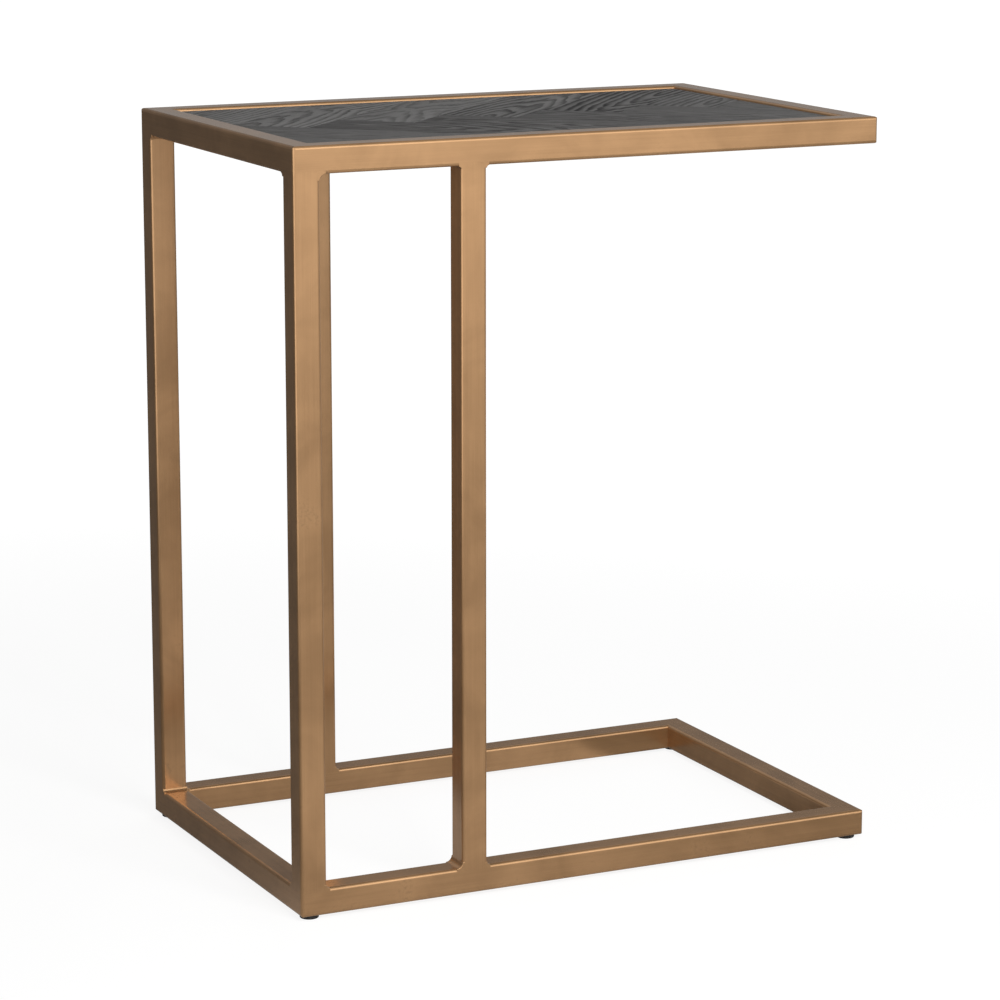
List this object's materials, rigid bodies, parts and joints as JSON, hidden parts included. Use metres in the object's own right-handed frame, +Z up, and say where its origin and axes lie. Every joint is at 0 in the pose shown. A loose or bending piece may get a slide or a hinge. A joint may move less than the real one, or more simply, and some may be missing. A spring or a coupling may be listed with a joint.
{
  "type": "sofa table",
  "caption": "C-shaped sofa table: welded square-tube frame in antique bronze, dark herringbone oak top let into it, and screw-in levelling feet under the base.",
  "frame": {"origin": "middle of the table's outline, on the floor", "axes": "+X towards the open side, +Y from the front to the back, +Z up"},
  "size_m": [0.47, 0.3, 0.558],
  "materials": {
    "bronze": "brushed antique bronze lacquer on steel",
    "oak": "brushed oak stained charcoal",
    "core_board": "black-dyed fibreboard",
    "zinc_steel": "bright zinc plate",
    "black_plastic": "moulded matt"
  },
  "bodies": {
    "frame": {"top_front_rail": "bronze", "top_right_rail": "bronze", "top_back_rail": "bronze", "top_left_rail": "bronze", "base_front_rail": "bronze", "base_right_rail": "bronze", "base_back_rail": "bronze", "base_left_rail": "bronze", "front_corner_post": "bronze", "front_middle_post": "bronze", "back_corner_post": "bronze", "back_middle_post": "bronze", "top_post_welds": "bronze", "base_post_welds": "bronze", "front_left_tab": "bronze", "front_right_tab": "bronze", "right_tab": "bronze", "back_right_tab": "bronze", "back_left_tab": "bronze", "left_tab": "bronze", "panel_core": "core_board", "front_staves": "oak", "back_staves": "oak", "panel_screws": "zinc_steel", "foot_nuts": "zinc_steel"},
    "front_left_foot": {"front_left_foot_stem": "zinc_steel", "front_left_foot_pad": "black_plastic"},
    "front_right_foot": {"front_right_foot_stem": "zinc_steel", "front_right_foot_pad": "black_plastic"},
    "back_right_foot": {"back_right_foot_stem": "zinc_steel", "back_right_foot_pad": "black_plastic"},
    "back_left_foot": {"back_left_foot_stem": "zinc_steel", "back_left_foot_pad": "black_plastic"}
  },
  "joints": [
    {"name": "front_left_foot_rise", "type": "slide", "parent": "frame", "child": "front_left_foot", "axis": [0, 0, -1], "range_m": [0, 0.006]},
    {"name": "front_right_foot_rise", "type": "slide", "parent": "frame", "child": "front_right_foot", "axis": [0, 0, -1], "range_m": [0, 0.006]},
    {"name": "back_right_foot_rise", "type": "slide", "parent": "frame", "child": "back_right_foot", "axis": [0, 0, -1], "range_m": [0, 0.006]},
    {"name": "back_left_foot_rise", "type": "slide", "parent": "frame", "child": "back_left_foot", "axis": [0, 0, -1], "range_m": [0, 0.006]}
  ]
}
